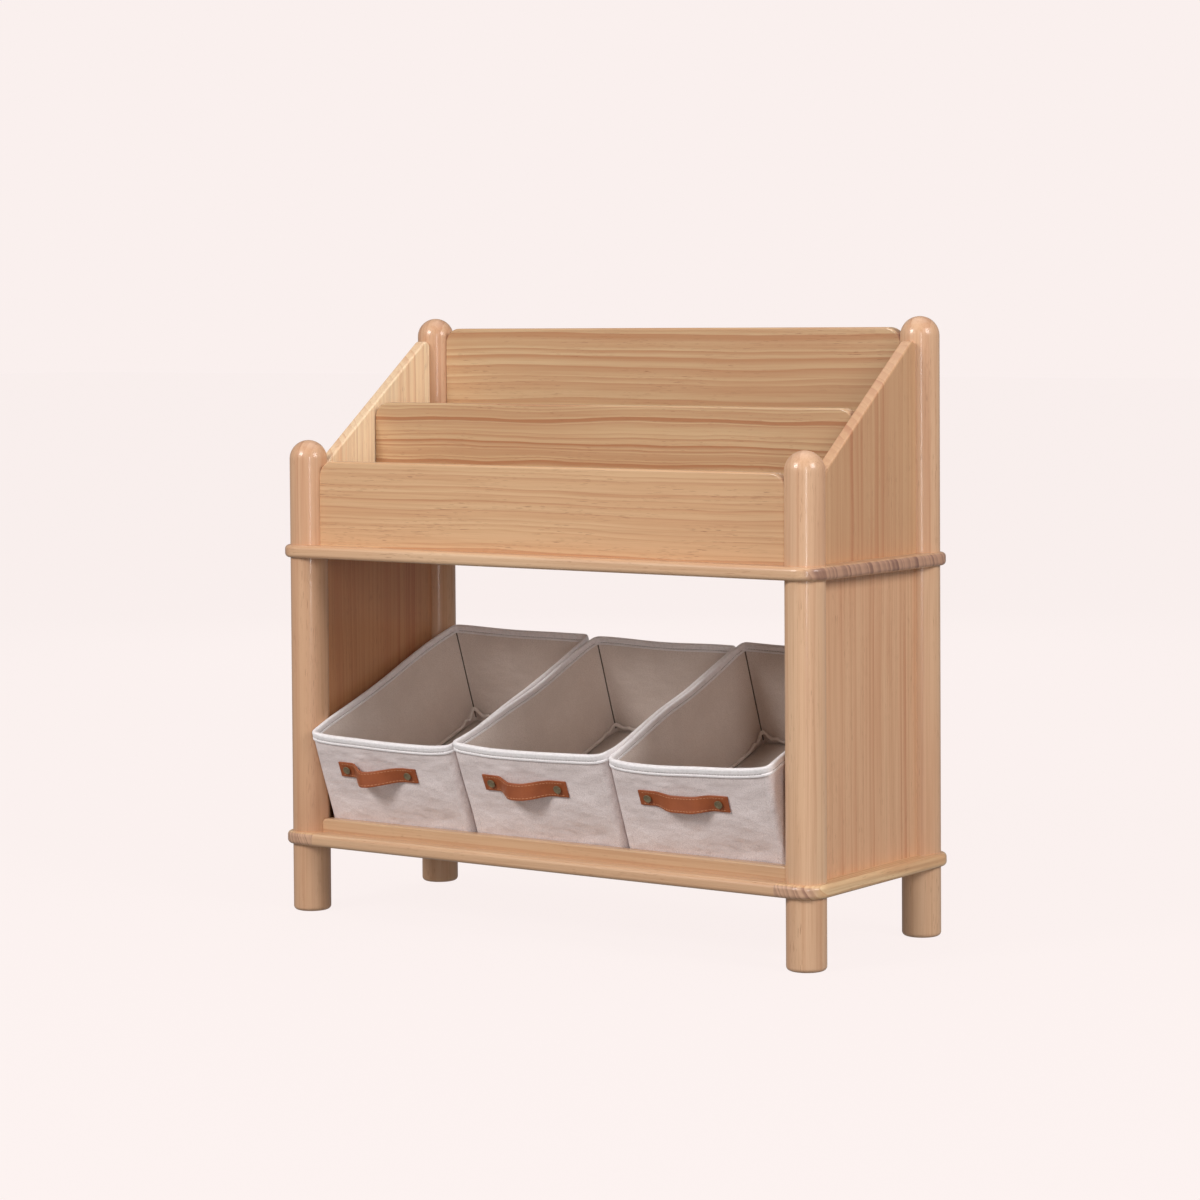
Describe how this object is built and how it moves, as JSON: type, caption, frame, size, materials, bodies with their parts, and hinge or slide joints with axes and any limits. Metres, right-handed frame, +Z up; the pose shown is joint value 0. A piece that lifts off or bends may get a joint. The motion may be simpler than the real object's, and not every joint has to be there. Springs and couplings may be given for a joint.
{
  "type": "bookshelf",
  "caption": "Low children's bookshelf: stepped book bays between round posts, above an open bay with lift-out fabric bins that lean forward.",
  "frame": {"origin": "on the floor, at the middle of the whole footprint, halfway between the posts from side to side", "axes": "+X to the right seen from the front, +Y to the back, +Z up; the front panel and the bin handles face -Y"},
  "size_m": [0.76, 0.3282, 0.7115],
  "materials": {
    "pine": "clear satin lacquer on pine",
    "zinc_steel": "zinc plated",
    "insert_brass": "plain turned",
    "canvas": "matt woven linen, pale rose beige",
    "lining": "matt woven lining, grey beige",
    "tape": "off-white twill tape, stitched",
    "board": "stiffening board sewn inside",
    "leather": "smooth tan leather, stitched edges",
    "antique_brass": "dull antique brass"
  },
  "bodies": {
    "root": {"mid_shelf": "pine", "bottom_shelf": "pine", "shelf_end_left": "pine", "shelf_end_right": "pine", "upper_post_front_left": "pine", "upper_post_front_right": "pine", "upper_post_rear_left": "pine", "upper_post_rear_right": "pine", "lower_post_front_left": "pine", "lower_post_front_right": "pine", "lower_post_rear_left": "pine", "lower_post_rear_right": "pine", "foot_front_left": "pine", "foot_front_right": "pine", "foot_rear_left": "pine", "foot_rear_right": "pine", "front_panel": "pine", "divider": "pine", "back_panel": "pine", "upper_side_left": "pine", "upper_side_right": "pine", "lower_side_left": "pine", "lower_side_right": "pine", "front_lip": "pine", "rest_rail": "pine", "studs": "zinc_steel", "threaded_inserts": "insert_brass", "dowels": "pine", "shelf_screws": "zinc_steel"},
    "bin_1": {"bin_1_cover": "canvas", "bin_1_stiffeners": "board", "bin_1_lining": "lining", "bin_1_binding": "tape", "bin_1_base_insert": "lining", "bin_1_handle": "leather", "bin_1_rivets": "antique_brass"},
    "bin_2": {"bin_2_cover": "canvas", "bin_2_stiffeners": "board", "bin_2_lining": "lining", "bin_2_binding": "tape", "bin_2_base_insert": "lining", "bin_2_handle": "leather", "bin_2_rivets": "antique_brass"},
    "bin_3": {"bin_3_cover": "canvas", "bin_3_stiffeners": "board", "bin_3_lining": "lining", "bin_3_binding": "tape", "bin_3_base_insert": "lining", "bin_3_handle": "leather", "bin_3_rivets": "antique_brass"}
  },
  "joints": [
    {"name": "bin_1_lift", "type": "slide", "parent": "root", "child": "bin_1", "axis": [0, -0.342, 0.9397], "range_m": [0, 0.1]},
    {"name": "bin_2_lift", "type": "slide", "parent": "root", "child": "bin_2", "axis": [0, -0.342, 0.9397], "range_m": [0, 0.1]},
    {"name": "bin_3_lift", "type": "slide", "parent": "root", "child": "bin_3", "axis": [0, -0.342, 0.9397], "range_m": [0, 0.1]}
  ]
}
